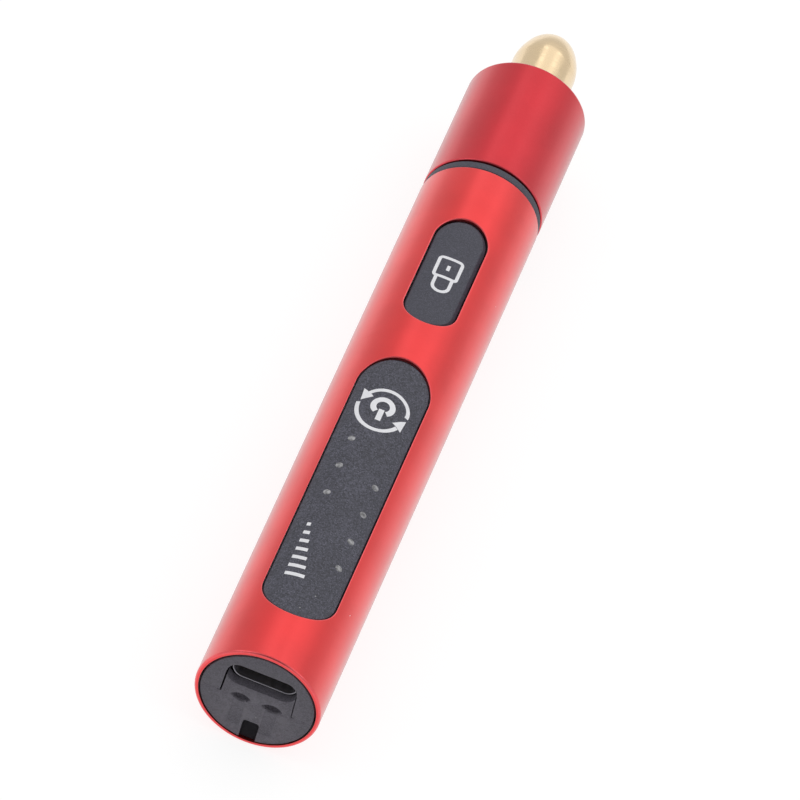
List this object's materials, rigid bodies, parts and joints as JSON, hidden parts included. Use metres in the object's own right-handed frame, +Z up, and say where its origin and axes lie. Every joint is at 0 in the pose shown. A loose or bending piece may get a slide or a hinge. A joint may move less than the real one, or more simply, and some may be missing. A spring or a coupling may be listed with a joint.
{
  "type": "electric engraving pen",
  "caption": "Slim cordless engraving pen: red tube body with dark control panel, spindle-lock key, charging socket in the tail and a brass collet nut at the nose.",
  "frame": {"origin": "middle of the pen's length, on the surface it lies on, under its axis", "axes": "+Y along the pen from the charging end to the nose, +Z up with the control panel on top, +X to the right"},
  "size_m": [0.017, 0.1318, 0.0169],
  "materials": {
    "red_anodised": "satin anodised",
    "charcoal_plastic": "fine spark-eroded grain",
    "black_plastic": "matte",
    "rubber": "matte",
    "steel": "turned or drawn",
    "bright_steel": "ground",
    "brass": "turned and polished",
    "nickel": "plain strip",
    "copper": "wound coil",
    "magnet": "plated",
    "board": "solder mask",
    "lamp": "clear",
    "cell_wrap": "shrink wrap",
    "red_wire": "insulation",
    "black_wire": "insulation"
  },
  "bodies": {
    "root": {"barrel_tube": "red_anodised", "battery_cell": "cell_wrap", "battery_tab_front": "nickel", "battery_tab_rear": "nickel", "bearing_carrier": "charcoal_plastic", "charge_chip": "black_plastic", "chassis_lower": "charcoal_plastic", "chassis_upper": "charcoal_plastic", "control_chip": "black_plastic", "control_panel": "charcoal_plastic", "front_bearing_outer": "steel", "front_sleeve": "red_anodised", "indicator_1": "lamp", "indicator_2": "lamp", "indicator_3": "lamp", "indicator_4": "lamp", "indicator_5": "lamp", "indicator_6": "lamp", "indicator_7": "lamp", "lock_spring": "steel", "main_board": "board", "motor_can": "steel", "motor_end_cap": "black_plastic", "motor_lead_left": "red_wire", "motor_lead_right": "black_wire", "motor_magnet": "magnet", "motor_terminal_left": "nickel", "motor_terminal_right": "nickel", "rear_bearing_outer": "steel", "seal_ring": "rubber", "switch_body": "black_plastic", "usb_shell": "steel", "usb_tongue": "black_plastic"},
    "spindle": {"motor_coil": "copper", "motor_shaft": "steel", "shaft_coupling": "brass", "lock_disc": "steel", "spindle": "steel", "rear_bearing_inner": "bright_steel", "front_bearing_inner": "bright_steel", "bearing_spacer": "bright_steel"},
    "collet": {"collet": "steel"},
    "collet_nut": {"collet_nut": "brass"},
    "lock_key": {"lock_key": "charcoal_plastic"},
    "switch_plunger": {"switch_plunger": "charcoal_plastic"}
  },
  "joints": [
    {"name": "spindle_spin", "type": "hinge", "parent": "root", "child": "spindle", "pos_m": [0, 0.0166, 0.00846], "axis": [0, 1, 0], "continuous": true},
    {"name": "collet_travel", "type": "slide", "parent": "spindle", "child": "collet", "axis": [0, 1, 0], "range_m": [0, 0.001]},
    {"name": "nut_turn", "type": "hinge", "parent": "collet", "child": "collet_nut", "pos_m": [0, 0.05905, 0.00846], "axis": [0, 1, 0], "range_deg": [0, 720]},
    {"name": "lock_press", "type": "slide", "parent": "root", "child": "lock_key", "axis": [0, 0, -1], "range_m": [0, 0.0009], "stiffness_N_per_m": 400, "springref_m": -0.001, "deforming": ["lock_spring"]},
    {"name": "power_press", "type": "slide", "parent": "root", "child": "switch_plunger", "axis": [0, 0, -1], "range_m": [0, 0.00025], "stiffness_N_per_m": 2000, "springref_m": -0.0002}
  ],
  "couplings": [
    {"joint": "nut_turn", "follows": "collet_travel", "rad_per_m": 12566}
  ]
}
